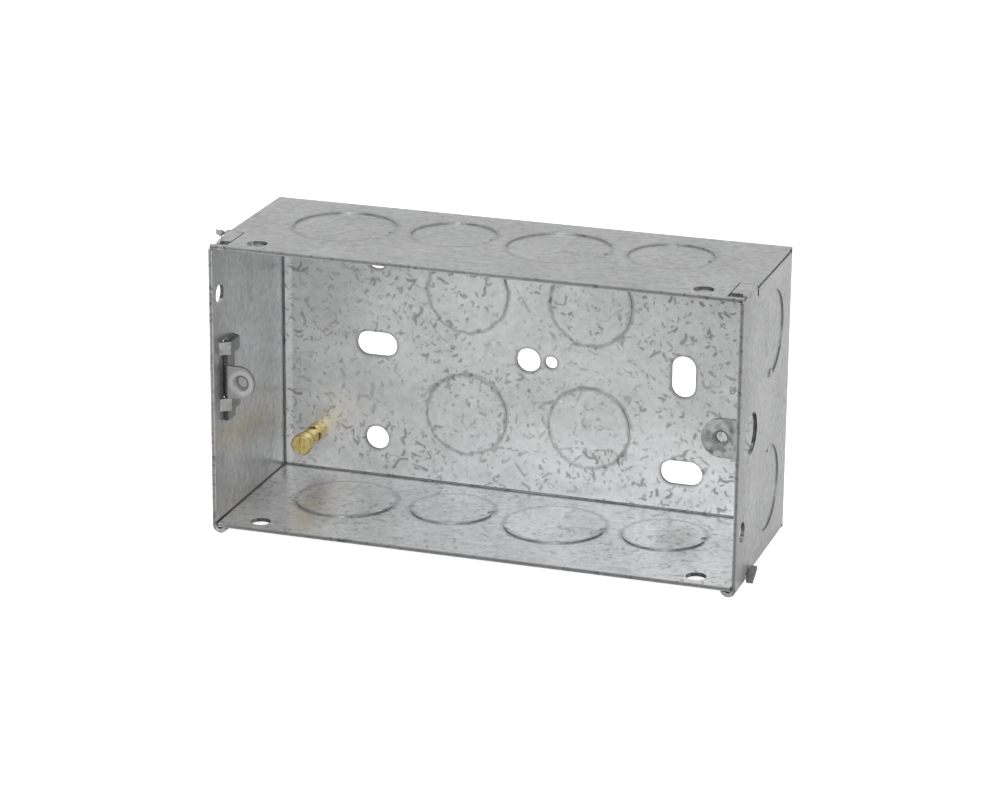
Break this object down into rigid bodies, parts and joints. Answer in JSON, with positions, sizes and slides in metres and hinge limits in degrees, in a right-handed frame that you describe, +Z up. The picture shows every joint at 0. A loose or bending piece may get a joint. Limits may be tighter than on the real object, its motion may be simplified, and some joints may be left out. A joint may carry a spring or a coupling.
{
  "type": "flush back box",
  "caption": "Deep rectangular sheet-steel wall box, open at the front, with round cable knockouts, a fixed and a sliding tapped lug, and a brass earth terminal.",
  "frame": {"origin": "centre of the back plate's outer face, on the axis of the middle fixing hole", "axes": "+X along the long side to the right as seen from the open front, +Y from the open front to the back plate, +Z up"},
  "size_m": [0.136, 0.047, 0.0746],
  "materials": {
    "zinc_sheet": "dull zinc coating, mottled",
    "zinc_lug": "dull zinc plating",
    "terminal_brass": "turned, bright"
  },
  "bodies": {
    "box": {"box_shell": "zinc_sheet", "earth_terminal_pillar": "terminal_brass"},
    "sliding_lug": {"adjustable_lug": "zinc_lug"},
    "terminal_screw": {"earth_terminal_screw": "terminal_brass"}
  },
  "joints": [
    {"name": "lug_slide", "type": "slide", "parent": "box", "child": "sliding_lug", "axis": [0, 0, 1], "range_m": [0, 0.0028]},
    {"name": "screw_travel", "type": "slide", "parent": "box", "child": "terminal_screw", "axis": [0, 1, 0], "range_m": [-0.0015, 0.0014]}
  ]
}
